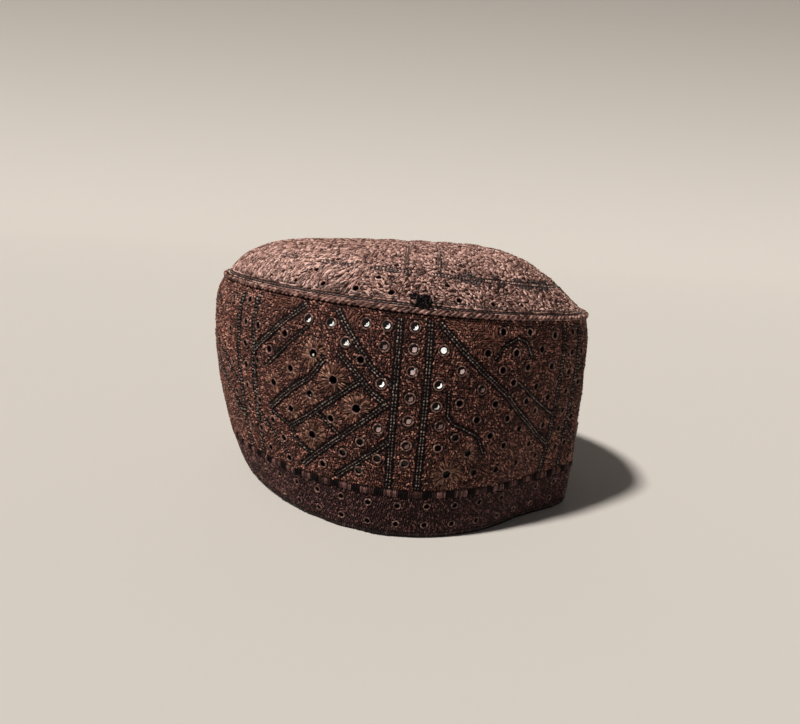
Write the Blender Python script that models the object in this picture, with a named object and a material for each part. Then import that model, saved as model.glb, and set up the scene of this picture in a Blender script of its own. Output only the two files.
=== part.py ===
# Embroidered sindhi cap in stiff quilted cloth, standing on its rim, with the front facing -Y.
# A tall bulging side wall and a domed crown are sewn edge to edge under a twisted cord.
# Eyelets are worked through the wall, and small round mirrors are set in those at the front.
# A turn is an angle in degrees round the cap from the front, positive towards +X.
# A height is a share of the wall's own height, from 0 at the rim to 1 at the seam.
import math
from collections import namedtuple

import bmesh
import bpy
from mathutils import Matrix, Vector

COLLECTION_NAME = "sindhi_cap"

# Driving dimensions, in metres
SEAM_HEIGHT = 0.1023
DOME_RISE = 0.0269
CLOTH_THICKNESS = 0.0024
CORD_RADIUS = 0.0013
PIECE_GAP = 0.0003
WALL_BULGE = 0.0053
SEAM_TUCK = 0.0026
EYELET_RADIUS = 0.0012
MIRROR_RADIUS = 0.0014
MIRROR_THICKNESS = 0.0006
MIRROR_DEPTH = 0.0005

# The middle of the whole cap's box, measured from the middle of the seam
BOX_CENTRE = Vector((-0.0012, 0.0002, 0.0))

# Shapes of the two outlines that the wall runs between, seen from above, one row each
Outline = namedtuple("Outline", "half_width half_depth skew power corner")
SEAM = Outline(half_width=0.1000, half_depth=0.0929, skew=-0.016, power=1.885, corner=0.0040)
RIM = Outline(half_width=0.0841, half_depth=0.0942, skew=-0.057, power=1.84, corner=0.0177)
CORNER_TURN = 68.3
CORNER_SPAN = 25.1
CORNER_POWER = 1.5
CORNER_ROUND = 3.5

# How the soft forms lean: the seam is highest at the left and front, where the belly is fuller
# and the crown's shoulder squarer
SEAM_SLOPE_X = -0.039
SEAM_SLOPE_Y = -0.045
BULGE_LEAN = 0.683
BULGE_POWER = 0.7
DOME_LEAN = 0.262
DOME_POWER = 4.96
DOME_POWER_LEAN = -0.508
TUCK_POWER = 12
CROWN_EDGE = 0.0031

# Resolution of the lofts
SEGMENTS = 72
WALL_HEIGHTS = (0.0, 0.03, 0.12, 0.26, 0.40, 0.55, 0.70, 0.82, 0.91, 0.97, 1.0)
LINING_HEIGHTS = (1.0, 0.90, 0.65, 0.35, 0.12, 0.0)
CROWN_REACHES = (1.0, 0.965, 0.91, 0.83, 0.72, 0.57, 0.38, 0.18)
CROWN_LINING_REACHES = (1.0, 0.90, 0.74, 0.50, 0.25)
CORD_RESOLUTION = 2

# The embroidered pattern: upright bands round the wall, and a diamond of large eyelets between two bands
BAND_COUNT = 7
FRONT_BAND_TURN = 3.9
BAND_STEP = 360 / BAND_COUNT
BAND_TOP = 0.942
BAND_DROP = 0.0955
BAND_EYELETS = 7
DIAMOND_TOP = 0.781
DIAMOND_DROP = 0.0875
DIAMOND_STEP = 6.45
DIAMOND_SIDE = 3

# How the flat pattern sits on the cap, in degrees and as a share of the height: it is drawn out to
# both sides of the front, most at the seam, and its bands lean and sag a little
FRONT_STRETCH = 5.3
BAND_LEAN = 0.85
PATTERN_SAG = 0.055

# The eyelets at the front that hold a mirror, one row each
Spot = namedtuple("Spot", "turn height")
MIRRORS = (
    Spot(turn=-24.4, height=0.916),
    Spot(turn=-17.7, height=0.916),
    Spot(turn=-13.2, height=0.850),
    Spot(turn=-8.4, height=0.934),
    Spot(turn=-3.1, height=0.936),
    Spot(turn=-3.4, height=0.855),
    Spot(turn=-3.4, height=0.703),
    Spot(turn=-3.4, height=0.512),
    Spot(turn=3.9, height=0.942),
    Spot(turn=3.9, height=0.856),
    Spot(turn=3.9, height=0.765),
    Spot(turn=3.9, height=0.655),
    Spot(turn=3.9, height=0.560),
    Spot(turn=3.9, height=0.450),
    Spot(turn=11.3, height=0.860),
    Spot(turn=16.3, height=0.780),
    Spot(turn=10.8, height=0.717),
    Spot(turn=10.6, height=0.627),
    Spot(turn=12.0, height=0.544),
    Spot(turn=22.5, height=0.703),
)
MIRROR_CLEARANCE = 0.0045
CUTTER_LENGTH = 3 * CLOTH_THICKNESS
EYELET_SIDES = 6
MIRROR_HOLE_SIDES = 8
MIRROR_SIDES = 12

# Small steps, in degrees and as a share of the height, that the wall's slope is read over
PROBE_TURN = 0.01
PROBE_HEIGHT = 0.001


def plan_radius(outline, turn):
    """Distance of an outline from the middle, at a turn."""
    angle = math.radians(turn - 90)
    across = abs(math.cos(angle) / outline.half_width) ** outline.power
    along = abs(math.sin(angle) / outline.half_depth) ** outline.power
    radius = (across + along) ** (-1 / outline.power) * (1 + outline.skew * math.sin(2 * angle))
    from_corner = math.hypot((turn - CORNER_TURN + 180) % 360 - 180, CORNER_ROUND)
    return radius + outline.corner * max(0.0, 1 - from_corner / CORNER_SPAN) ** CORNER_POWER


def seam_level(x, y):
    """Height of the tilted plane that the seam lies in."""
    return SEAM_HEIGHT + SEAM_SLOPE_X * x + SEAM_SLOPE_Y * y


def place(turn, radius, level):
    """Point at a turn and radius, at a share of the seam's height there."""
    angle = math.radians(turn - 90)
    x = radius * math.cos(angle)
    y = radius * math.sin(angle)
    return Vector((x, y, seam_level(x, y) * level)) - BOX_CENTRE


def wall_point(turn, height, inset=0.0):
    """Point of the wall's outer face, or of a face inset from it."""
    straight = plan_radius(RIM, turn) * (1 - height) + plan_radius(SEAM, turn) * height
    lean = 1 - BULGE_LEAN * math.cos(math.radians(turn - 90))
    belly = WALL_BULGE * lean * (4 * height * (1 - height)) ** BULGE_POWER
    tuck = SEAM_TUCK * height ** TUCK_POWER
    return place(turn, straight + belly - tuck - inset, height)


def crown_point(turn, reach, edge=0.0, depth=0.0):
    """Point of the crown, at a share of the way out from its middle to the seam."""
    radius = (plan_radius(SEAM, turn) - SEAM_TUCK - edge) * reach
    point = place(turn, radius, 1.0)
    sideways = (point.x + BOX_CENTRE.x) / SEAM.half_width
    power = DOME_POWER * (1 + DOME_POWER_LEAN * sideways)
    point.z += PIECE_GAP + (DOME_RISE - depth) * (1 + DOME_LEAN * sideways) * (1 - reach ** power)
    return point


def sewn(spot):
    """Turn and height at which a spot of the flat pattern is sewn on the cap."""
    drawn_out = FRONT_STRETCH * spot.height * math.sin(math.radians(spot.turn - FRONT_BAND_TURN))
    turn = spot.turn + drawn_out - BAND_LEAN * (1 - spot.height)
    return turn, spot.height - PATTERN_SAG * spot.height * (1 - spot.height)


def wall_frame(spot, sink=0.0):
    """Matrix of a spot of the pattern, with Z along the wall's outward normal, sunk along it."""
    turn, height = sewn(spot)
    here = wall_point(turn, height)
    sideways = wall_point(turn + PROBE_TURN, height) - here
    upward = wall_point(turn, height + PROBE_HEIGHT) - here
    normal = sideways.cross(upward).normalized()
    turned = normal.to_track_quat("Z", "Y").to_matrix().to_4x4()
    return Matrix.Translation(here - normal * sink) @ turned


def ring(point_at):
    """One closed row of points round the cap."""
    return [point_at(index * 360 / SEGMENTS) for index in range(SEGMENTS)]


def skin(name, rows, closed):
    """Mesh over rows of points, where a row of one point ends the surface in a fan."""
    shape = bmesh.new()
    rows = [[shape.verts.new(point) for point in row] for row in rows]
    pairs = list(zip(rows, rows[1:]))
    if closed:
        pairs.append((rows[-1], rows[0]))
    for first, second in pairs:
        for index in range(SEGMENTS):
            after = (index + 1) % SEGMENTS
            corners = [first[index % len(first)], first[after % len(first)],
                       second[after % len(second)], second[index % len(second)]]
            shape.faces.new(list(dict.fromkeys(corners)))
    bmesh.ops.triangulate(shape, faces=shape.faces[:])
    bmesh.ops.recalc_face_normals(shape, faces=shape.faces[:])
    mesh = bpy.data.meshes.new(name)
    shape.to_mesh(mesh)
    shape.free()
    return mesh


def make_material(name, colour, roughness, metallic=0.0):
    material = bpy.data.materials.new(name)
    material.use_nodes = True
    shader = material.node_tree.nodes["Principled BSDF"]
    shader.inputs["Base Color"].default_value = (*colour, 1.0)
    shader.inputs["Roughness"].default_value = roughness
    shader.inputs["Metallic"].default_value = metallic
    return material


def add_object(name, data, collection, material=None):
    thing = bpy.data.objects.new(name, data)
    if material is not None and not data.materials:
        data.materials.append(material)
    collection.objects.link(thing)
    return thing


def make_wall(collection):
    rows = [ring(lambda turn, h=height: wall_point(turn, h)) for height in WALL_HEIGHTS]
    rows += [ring(lambda turn, h=height: wall_point(turn, h, CLOTH_THICKNESS)) for height in LINING_HEIGHTS]
    cloth = make_material("wall_cloth", (0.085, 0.042, 0.036), 0.75)
    return add_object("side_wall", skin("side_wall", rows, closed=True), collection, cloth)


def make_crown(collection):
    depth = CLOTH_THICKNESS
    lining = [ring(lambda turn, r=reach: crown_point(turn, r, CROWN_EDGE, depth))
              for reach in reversed(CROWN_LINING_REACHES)]
    outside = [ring(lambda turn, r=reach: crown_point(turn, r)) for reach in CROWN_REACHES]
    rows = [[crown_point(0, 0, CROWN_EDGE, depth)]] + lining + outside + [[crown_point(0, 0)]]
    cloth = make_material("crown_cloth", (0.20, 0.115, 0.10), 0.7)
    crown = add_object("crown", skin("crown", rows, closed=False), collection, cloth)
    crown.data.shade_smooth()
    return crown


def make_seam_cord(collection):
    """Round cord that lies on the seam's outer edge, all the way round."""
    reach = CORD_RADIUS + PIECE_GAP
    curve = bpy.data.curves.new("seam_cord", "CURVE")
    curve.dimensions = "3D"
    curve.bevel_depth = CORD_RADIUS
    curve.bevel_resolution = CORD_RESOLUTION
    spline = curve.splines.new("POLY")
    spline.points.add(SEGMENTS - 1)
    spline.use_cyclic_u = True
    for index, point in enumerate(spline.points):
        turn = index * 360 / SEGMENTS
        at = place(turn, plan_radius(SEAM, turn) - SEAM_TUCK + reach, 1.0)
        point.co = (at.x, at.y, at.z + PIECE_GAP, 1.0)
    cord = make_material("seam_cord_thread", (0.22, 0.13, 0.115), 0.5)
    return add_object("seam_cord", curve, collection, cord)


def eyelet_spots():
    """Spots of the open eyelets: one column to a band, and one diamond to a panel."""
    spots = []
    for band in range(BAND_COUNT):
        turn = FRONT_BAND_TURN + band * BAND_STEP
        for index in range(BAND_EYELETS):
            spots.append(Spot(turn, BAND_TOP - index * BAND_DROP))
        for left in range(DIAMOND_SIDE):
            for right in range(DIAMOND_SIDE):
                sideways = BAND_STEP / 2 + (right - left) * DIAMOND_STEP
                spots.append(Spot(turn + sideways, DIAMOND_TOP - (left + right) * DIAMOND_DROP))
    return [spot for spot in spots if clear_of_mirrors(spot)]


def clear_of_mirrors(spot):
    here = wall_point(*sewn(spot))
    return all((wall_point(*sewn(mirror)) - here).length > MIRROR_CLEARANCE for mirror in MIRRORS)


def pierce(wall, collection):
    """Cuts the eyelets and the mirrors' holes through the wall."""
    shape = bmesh.new()
    sizes = [(spot, EYELET_RADIUS, EYELET_SIDES) for spot in eyelet_spots()]
    sizes += [(spot, hole_radius(), MIRROR_HOLE_SIDES) for spot in MIRRORS]
    for spot, radius, sides in sizes:
        bmesh.ops.create_cone(shape, cap_ends=True, segments=sides, radius1=radius, radius2=radius,
                              depth=CUTTER_LENGTH,
                              matrix=wall_frame(spot, CLOTH_THICKNESS / 2))
    mesh = bpy.data.meshes.new("eyelet_cutter")
    shape.to_mesh(mesh)
    shape.free()
    cutter = add_object("eyelet_cutter", mesh, collection)
    cutter.hide_render = True
    cutter.display_type = "WIRE"
    cut = wall.modifiers.new("eyelets", "BOOLEAN")
    cut.operation = "DIFFERENCE"
    cut.solver = "EXACT"
    cut.object = cutter


def hole_radius():
    """Corner radius of a mirror's hole, whose flats clear the mirror by the gap."""
    return (MIRROR_RADIUS + PIECE_GAP) / math.cos(math.pi / MIRROR_HOLE_SIDES)


def make_mirrors(collection):
    shape = bmesh.new()
    bmesh.ops.create_cone(shape, cap_ends=True, segments=MIRROR_SIDES, radius1=MIRROR_RADIUS,
                          radius2=MIRROR_RADIUS, depth=MIRROR_THICKNESS)
    mesh = bpy.data.meshes.new("mirror")
    shape.to_mesh(mesh)
    shape.free()
    glass = make_material("mirror_glass", (0.86, 0.84, 0.82), 0.12, metallic=1.0)
    for number, spot in enumerate(MIRRORS, start=1):
        mirror = add_object(f"mirror_{number:02d}", mesh, collection, glass)
        mirror.matrix_world = wall_frame(spot, MIRROR_DEPTH + MIRROR_THICKNESS / 2)


def new_collection(name):
    collection = bpy.data.collections.new(name)
    bpy.context.scene.collection.children.link(collection)
    return collection


def build():
    for thing in list(bpy.data.objects):
        bpy.data.objects.remove(thing, do_unlink=True)
    parts = new_collection(COLLECTION_NAME)
    cutters = new_collection("cutters")
    wall = make_wall(parts)
    pierce(wall, cutters)
    make_crown(parts)
    make_seam_cord(parts)
    make_mirrors(parts)


build()
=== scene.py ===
# Looks of an embroidered sindhi cap: silk stitches, eyelets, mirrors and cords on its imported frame.
# A turn is an angle in degrees round the cap from the front, positive towards +X.
# A height is a share of the wall's own height, from 0 at the rim to 1 at the seam.
import math
from collections import namedtuple

import bpy
import numpy as np
from mathutils import Matrix, Vector, geometry


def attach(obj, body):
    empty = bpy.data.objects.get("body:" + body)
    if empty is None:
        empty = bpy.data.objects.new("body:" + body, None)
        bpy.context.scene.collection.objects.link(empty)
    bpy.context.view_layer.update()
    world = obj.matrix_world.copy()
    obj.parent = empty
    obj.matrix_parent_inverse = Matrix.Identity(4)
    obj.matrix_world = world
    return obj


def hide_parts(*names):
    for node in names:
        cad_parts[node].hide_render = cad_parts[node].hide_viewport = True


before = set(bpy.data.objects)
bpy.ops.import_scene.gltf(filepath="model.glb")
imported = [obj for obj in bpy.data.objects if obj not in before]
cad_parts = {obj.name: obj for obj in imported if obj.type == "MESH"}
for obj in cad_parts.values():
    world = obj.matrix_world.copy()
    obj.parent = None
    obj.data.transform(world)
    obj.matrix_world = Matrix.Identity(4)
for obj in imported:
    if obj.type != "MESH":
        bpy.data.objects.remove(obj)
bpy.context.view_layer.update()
MM = 0.001
random = np.random.default_rng(17)

# The cap's form, as its frame is built, in metres and degrees
SEAM_HEIGHT = 0.1023
DOME_RISE = 0.0269
CLOTH_THICKNESS = 0.0024
CORD_RADIUS = 0.0013
PIECE_GAP = 0.0003
WALL_BULGE = 0.0053
SEAM_TUCK = 0.0026
MIDDLE_X = -0.0012
MIDDLE_Y = 0.0002
Outline = namedtuple("Outline", "half_width half_depth skew power corner")
SEAM = Outline(half_width=0.1000, half_depth=0.0929, skew=-0.016, power=1.885, corner=0.0040)
RIM = Outline(half_width=0.0841, half_depth=0.0942, skew=-0.057, power=1.84, corner=0.0177)
CORNER_TURN = 68.3
CORNER_SPAN = 25.1
CORNER_POWER = 1.5
CORNER_ROUND = 3.5
SEAM_SLOPE_X = -0.039
SEAM_SLOPE_Y = -0.045
BULGE_LEAN = 0.683
BULGE_POWER = 0.7
DOME_LEAN = 0.262
DOME_POWER = 4.96
DOME_POWER_LEAN = -0.508
TUCK_POWER = 12

# Scale of the flat chart of the wall, in which distances between stitches are measured
DEGREE = 0.0965 * math.pi / 180

# The camera, as fitted to the photograph of 800 by 724 pixels
PHOTO_WIDTH = 800
PHOTO_HEIGHT = 724
FOCAL_PIXELS = 748.5
TARGET_PIXEL_X = 397.6
TARGET_PIXEL_Y = 377.6
CAMERA_DISTANCE = 0.4287
CAMERA_ELEVATION = 14.39
CAMERA_ROLL = 3.99
TARGET_HEIGHT = 0.0525
SENSOR_WIDTH = 36
CLIP_START = 0.01

# The studio: a pale floor that sweeps up, a broad sun and a strip that only the mirrors reflect
FLOOR_FRONT = -3.0
FLOOR_BACK = 1.2
FLOOR_HALF_WIDTH = 4.0
BACKDROP_HEIGHT = 3.0
SWEEP_RADIUS = 0.8
SWEEP_STEPS = 12
FLOOR_COLOUR = (0.55, 0.525, 0.49, 1)
WORLD_COLOUR = (0.88, 0.86, 0.87, 1)
WORLD_STRENGTH = 0.1
SUN_TOWARDS = (-0.44, -0.26, 0.86)
SUN_STRENGTH = 4.0
SUN_SOFTNESS = 6
SUN_COLOUR = (1.0, 0.95, 0.90)
STRIP_PLACE = (-0.38, -0.46, 0.22)
STRIP_WIDTH = 1.5
STRIP_HEIGHT = 0.42
STRIP_RADIANCE = 1.0

# The embroidered pattern round the wall: upright bands with a panel of one of two designs between them
BAND_COUNT = 7
BAND_STEP = 360 / BAND_COUNT
FRONT_BAND_TURN = 3.9
BAND_HALF_WIDTH = 3.85
BAND_TOP = 0.942
BAND_DROP = 0.0955
BAND_EYELETS = 7
FRONT_STRETCH = 5.3
BAND_LEAN = 0.85
PATTERN_SAG = 0.055
PANEL_DESIGNS = "diagonal diamond diagonal diamond diagonal diagonal diamond".split()
BAND_LINE_TOP = 0.975
BAND_LINE_FOOT = 0.245
ROW_HEIGHT = 0.222
ROW_HALF_HEIGHT = 0.02
ROW_SQUARES = 112
ROW_START = -2.2
HEM_ROWS = (0.165, 0.068)
HEM_EYELETS = 45
HEM_START = 3.0
# Distance that eyelets keep from the join of the wall's chart, at the back
JOIN_CLEARANCE = 3 * MM

# Eyelets of the two panel designs. Across is in degrees from the band at the panel's left.
Eyelet = namedtuple("Eyelet", "across height kind", defaults=("plain",))
DIAMOND_EYELETS = [Eyelet(*row) for row in (
    (23.1, 0.916), (29.8, 0.916), (34.3, 0.850), (39.1, 0.934), (44.4, 0.936), (44.1, 0.855),
    (44.1, 0.703), (44.1, 0.512), (5.8, 0.845), (16.2, 0.840), (38.5, 0.789), (10.6, 0.757),
    (25.4, 0.781, "rosette"), (18.5, 0.700, "bud"), (31.6, 0.689, "rosette"), (12.4, 0.619, "bud"),
    (24.9, 0.609, "bud"), (38.2, 0.585, "rosette"), (18.5, 0.522, "bud"), (31.3, 0.522, "bud"),
    (25.7, 0.430, "rosette"), (5.5, 0.693), (5.5, 0.512), (11.1, 0.442), (39.6, 0.442), (15.2, 0.374),
    (4.6, 0.374), (34.9, 0.378), (44.3, 0.378), (29.0, 0.306), (39.6, 0.310), (8.3, 0.294), (16.5, 0.280),
)]
DIAGONAL_EYELETS = [Eyelet(*row) for row in (
    (7.4, 0.860), (12.4, 0.780), (6.9, 0.717), (6.7, 0.627), (8.1, 0.544), (18.6, 0.703), (12.7, 0.643),
    (19.3, 0.856), (28.3, 0.858), (24.3, 0.785), (32.8, 0.794), (23.9, 0.945), (32.8, 0.945),
    (28.2, 0.729), (37.5, 0.700), (34.1, 0.637), (23.1, 0.637), (18.1, 0.569), (28.0, 0.565),
    (38.7, 0.581), (12.5, 0.492), (22.9, 0.492), (33.1, 0.508), (8.2, 0.444), (16.6, 0.418, "bud"),
    (28.0, 0.438), (39.0, 0.418), (11.4, 0.322, "rosette"), (19.3, 0.322), (26.7, 0.322), (34.5, 0.335),
    (42.5, 0.790), (38.0, 0.870), (43.4, 0.640), (43.8, 0.500), (43.0, 0.345), (43.0, 0.930),
)]
PANEL_EYELETS = {"diamond": DIAMOND_EYELETS, "diagonal": DIAGONAL_EYELETS}

# Couched lines of the two designs, each through points of (across, height)
Line = namedtuple("Line", "double points")
PANEL_LINES = {
    "diamond": (
        Line(True, ((21.7, 0.975), (4.2, 0.740))),
        Line(True, ((30.9, 0.975), (41.3, 0.765), (47.2, 0.690))),
        Line(False, ((9.3, 0.681), (23.6, 0.896))),
        Line(True, ((10.5, 0.500), (18.6, 0.611), (24.5, 0.678), (29.0, 0.775))),
        Line(True, ((17.6, 0.440), (23.9, 0.505), (31.4, 0.605), (38.4, 0.699))),
        Line(True, ((32.6, 0.805), (37.0, 0.741), (42.1, 0.658), (45.6, 0.620))),
        Line(False, ((10.4, 0.490), (14.4, 0.469), (18.2, 0.440), (20.1, 0.379), (24.3, 0.348),
                     (28.6, 0.350))),
        Line(False, ((26.2, 0.540), (29.8, 0.508), (35.1, 0.440))),
        Line(True, ((46.0, 0.622), (30.3, 0.394), (21.8, 0.270))),
        Line(True, ((47.0, 0.458), (33.0, 0.262))),
        Line(False, ((4.2, 0.470), (18.6, 0.262))),
    ),
    "diagonal": (
        Line(True, ((6.3, 0.968), (13.0, 0.856), (19.1, 0.769), (26.7, 0.673), (32.8, 0.577),
                    (42.0, 0.458), (47.2, 0.400))),
        Line(False, ((21.6, 0.830), (24.7, 0.888), (28.7, 0.920), (31.8, 0.904), (34.4, 0.830))),
        Line(False, ((9.6, 0.700), (9.9, 0.585), (11.4, 0.553), (16.5, 0.514), (19.1, 0.490),
                     (21.6, 0.410))),
        Line(False, ((30.0, 0.730), (38.0, 0.640), (47.2, 0.545))),
    ),
}

# The eyelets at the front that hold the frame's mirrors, and how bright each one shows: the glass is the
# same in all, and its reflection is painted bright, rosy or dim
Mirror = namedtuple("Mirror", "turn height shine")
MIRRORS = [Mirror(*row) for row in (
    (-24.4, 0.916, "lapped"), (-17.7, 0.916, "sliver"), (-13.2, 0.850, "lapped"), (-8.4, 0.934, "lapped"),
    (-3.1, 0.936, "lapped"), (-3.4, 0.855, "dim"), (-3.4, 0.703, "sliver"), (-3.4, 0.512, "rosy"),
    (3.9, 0.942, "lapped"), (3.9, 0.856, "rosy"), (3.9, 0.765, "rosy"), (3.9, 0.655, "dim"),
    (3.9, 0.560, "rosy"), (3.9, 0.450, "dim"), (11.3, 0.860, "bright"), (16.3, 0.780, "rosy"),
    (10.8, 0.717, "sliver"), (10.6, 0.627, "sliver"), (12.0, 0.544, "dim"), (22.5, 0.703, "dim"),
)]
MIRROR_CLEARANCE = 4.5 * MM
MIRROR_SHADE_ANGLE = 140
MIRROR_SHADE_SPREAD = 1.1
MIRROR_SHADE_STITCHES = 7
MIRROR_SHADE_LIFT = 0.3 * MM
# Distances from a mirror's middle of the rows of dark stitches that lap over it: a painted shadow of the
# rim of the mirror's recess
MIRROR_SHADOW_ROWS = {
    "lapped": (1.4 * MM, 0.95 * MM, 0.6 * MM),
    "sliver": (1.4 * MM, 0.85 * MM, 0.2 * MM),
    "bright": (),
    "rosy": (1.45 * MM, 1.1 * MM),
    "dim": (1.35 * MM, 0.9 * MM),
}

# Patches of satin stitch under the seam
SatinPatch = namedtuple("SatinPatch", "across height half_turn half_height")
SATIN_PATCHES = {
    "diagonal": (SatinPatch(19.0, 0.915, 4.6, 0.085), SatinPatch(10.5, 0.962, 4.5, 0.02)),
    "diamond": (SatinPatch(35.0, 0.945, 3.0, 0.035), SatinPatch(13.0, 0.975, 7.0, 0.03)),
}

# The cord on the seam and the rows of stitches beside it
ROPE_STRANDS = 2
ROPE_TWISTS = 101
ROPE_TALL = 0.65 * MM
ROPE_FLAT = 0.3 * MM
ROPE_INSET = 0.9 * MM
ROPE_SIDES = 7
ROPE_SAMPLES = 1400
ROPE_SLIP = 0.35
STRAND_RADIUS = 0.66 * MM
STRAND_SWELL = 0.12
SEAM_ROW_STITCHES = 250
SeamRow = namedtuple("SeamRow", "inset width rise dark")
SEAM_ROWS = [SeamRow(*row) for row in (
    (0.95 * MM, 0.75 * MM, 0.85 * MM, False),
    (1.65 * MM, 0.75 * MM, 0.50 * MM, True),
    (2.40 * MM, 0.80 * MM, 0.80 * MM, False),
    (3.25 * MM, 1.00 * MM, 0.60 * MM, True),
)]

# The crown's pattern: rings of eyelets, a dark couched ring and two crossing bands inside it
CROWN_BAND_X = 0.0081
CROWN_BAND_HALF = 0.0076
CROWN_RING_REACH = 0.835
CROWN_RING_SHADE = 0.035
CROWN_SHADE_START = 0.024
CROWN_LINES_START = -0.4
CROWN_SLANT_EDGE = -0.02
CROWN_SLANT = 0.5
CROWN_EYELET_JITTER = 0.5 * MM
CrownRing = namedtuple("CrownRing", "reach eyelets start")
CROWN_RINGS = [CrownRing(*row) for row in (
    (0.948, 33, -4.0), (0.885, 16, 14.3), (0.80, 33, -4.1), (0.715, 24, -21.9),
    (0.56, 24, -5.2), (0.42, 14, 8.0), (0.27, 9, 0.0), (0.12, 4, 20.0),
)]
RING_LINE_STEP = 3.0
BAND_LINE_POINTS = 60
# Creases at the crown's left, through points in plan in millimetres. The filling is left out along them,
# so the dark ground paints the shade in their folds
CROWN_CREASES = (
    ((-53.8, -68.7), (-46.3, -67.0), (-39.4, -67.2)),
    ((-41.0, -77.0), (-34.6, -75.3), (-27.0, -75.3)),
)

# The tuft of thread on the crown's edge at the front
KNOT_TURN = 6.0
KNOT_REACH = 0.972
KNOT_STITCHES = 90
KNOT_SPREAD = np.array([2.9, 1.3]) * MM
KNOT_LIFT = 0.5 * MM

# Eyelets and rosettes
HOLE_RADII = {
    "plain": 1.45 * MM,
    "rosette": 1.75 * MM,
    "bud": 1.5 * MM,
    "hem": 1.2 * MM,
    "mirror": 1.8 * MM,
}
CROWN_HOLE_RADII = (1.0 * MM, 1.5 * MM)
HOLE_SIDES = 12
HOLE_MARGIN = 0.6 * MM
RING_WIDTH = 0.75 * MM
RING_STEP = 0.95 * MM
RING_MARGIN = 0.1 * MM
RosetteRow = namedtuple("RosetteRow", "reach stitches length")
ROSETTE_ROWS = {
    "rosette": (RosetteRow(3.1 * MM, 28, 2.3 * MM), RosetteRow(4.7 * MM, 44, 2.6 * MM),
                RosetteRow(6.2 * MM, 54, 2.1 * MM)),
    "bud": (RosetteRow(2.9 * MM, 24, 1.9 * MM), RosetteRow(4.1 * MM, 34, 1.8 * MM)),
}
ROSETTE_UNEVEN = 0.08
ROSETTE_REACHES = {"rosette": 7.0 * MM, "bud": 4.9 * MM}
ROSETTE_OVERLAP = 0.9 * MM

# Kinds of stitch, with the shares by which length, width and rise vary, and the direction in radians
Stitch = namedtuple("Stitch", "length width rise spreads lean", defaults=(0,))
COUCHED_STEP = 1.7 * MM
WALL_STITCH = Stitch(1.25 * MM, 0.68 * MM, 0.62 * MM, (0.25, 0.2, 0.35), 0.35)
CROWN_STITCH = Stitch(2.0 * MM, 0.8 * MM, 0.65 * MM, (0.3, 0.2, 0.45), 0.45)
WALL_RING_STITCH = Stitch(1.5 * MM, RING_WIDTH, 0.8 * MM, (0, 0.2, 0.25), 0.15)
CROWN_RING_STITCH = Stitch(1.5 * MM, RING_WIDTH, 0.65 * MM, (0, 0.2, 0.25), 0.15)
ROSETTE_STITCH = Stitch(2.3 * MM, 0.6 * MM, 0.65 * MM, (0.15, 0.2, 0.3), 0.05)
# Stitches of the painted shadow over the mirrors
SHADE_STITCH = Stitch(1.2 * MM, 0.8 * MM, 0.5 * MM, (0, 0, 0.2))
COUCHED_STITCH = Stitch(1.35 * COUCHED_STEP, 0.65 * MM, 0.62 * MM, (0, 0, 0))
BEAD_STITCH = Stitch(1.2 * MM, 0.62 * MM, 0.75 * MM, (0.25, 0.2, 0.25))
SQUARE_STITCH = Stitch(3.9 * MM, 0.78 * MM, 0.85 * MM, (0.15, 0.1, 0.2), 0.05)
RIM_STITCH = Stitch(2.3 * MM, 0.95 * MM, 0.7 * MM, (0.15, 0.15, 0.3), 0.15)
SEAM_STITCH = Stitch(3.0 * MM, 0.75 * MM, 0.85 * MM, (0, 0, 0.2), 0.08)
KNOT_STITCH = Stitch(2.6 * MM, 0.62 * MM, 1.3 * MM, (0.3, 0, 0.4))
SATIN_LEAN = 0.15
CROWN_SLANT_LEAN = 0.25
CROWN_SLANT_LENGTH = 3.0 * MM
CROWN_SLANT_WIDTH = 0.68 * MM
SATIN_LENGTHENING = 1.5
SATIN_NARROWING = 0.85
# Shape of a stitch: where its arch starts, how high its sides end, and how far its ends dip
STITCH_SHOULDER = 0.27
STITCH_FOOT = 0.12
STITCH_DIP = 0.1 * MM

# Where the filling stitches lie and how they turn, in metres and radians
STITCH_STEP = 0.96 * MM
CROWN_STITCH_STEP = 1.17 * MM
CROWN_MISSED = 0.13
LATTICE_FOOT = 0.028
LATTICE_TOP = 0.99
CROWN_LATTICE_END = 4.4 * MM
WALL_SCATTER = 0.3
CROWN_SCATTER = 0.25
OUTLINE_SAMPLES = 72
DOME_SAMPLES = 400
WALL_FILL_MARGIN = 0.35 * MM
CROWN_FILL_MARGIN = 0.2 * MM
LINE_MARGIN = 0.3 * MM
ROSETTE_LINE_MARGIN = 0.5 * MM
CREASE_OVERLAP = 0.5 * MM
WALL_SLANT = 0.9
CROWN_SLANT_CURL = 0.4
CROWN_CURL = 0.9
# Distances from an eyelet within which the filling runs round it
ROUND_REACH = 4.4 * MM
HEM_ROUND_REACH = 3.2 * MM

# Couched lines, the squares of the row and the rim
COUCHED_SPREAD = 1.25 * MM
BEAD_STEP = 1.5 * MM
BEAD_JITTER = 0.1 * MM
LINE_HALF_WIDTHS = {
    True: COUCHED_SPREAD + COUCHED_STITCH.width / 2,
    False: (COUCHED_SPREAD + COUCHED_STITCH.width) / 2,
}
# Stitches in a square, and their spacing as a share of the squares' own
DARK_SQUARE = (4, 0.16)
ROSY_SQUARE = (8, 0.15)
RIM_STITCHES = 560
RIM_STITCH_LEVEL = 1.35 * MM
RIM_STITCH_ANGLE = 1.4
# Least heights of the stitches near the rim, over what the cap stands on
FILL_FOOT = 0.2 * MM
RIM_FOOT = 0.1 * MM

# The ground cloth, its relief and how finely it is laid out
CLOTH_SINK = 0.65 * MM
LINE_DIP_WIDTH = 1.2 * MM
WALL_EDGE_FADE = 4 * MM
WALL_COLUMNS = 288
WALL_ROWS = 44
CROWN_EDGE_FADE = 0.04
CROWN_CLOTH_RINGS = 40
CROWN_CLOTH_STEP = 2.4 * MM
MM_IN_A_METRE = 1000
SPOTS_AT_A_TIME = 4000
FAR_AWAY = 1.0

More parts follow.
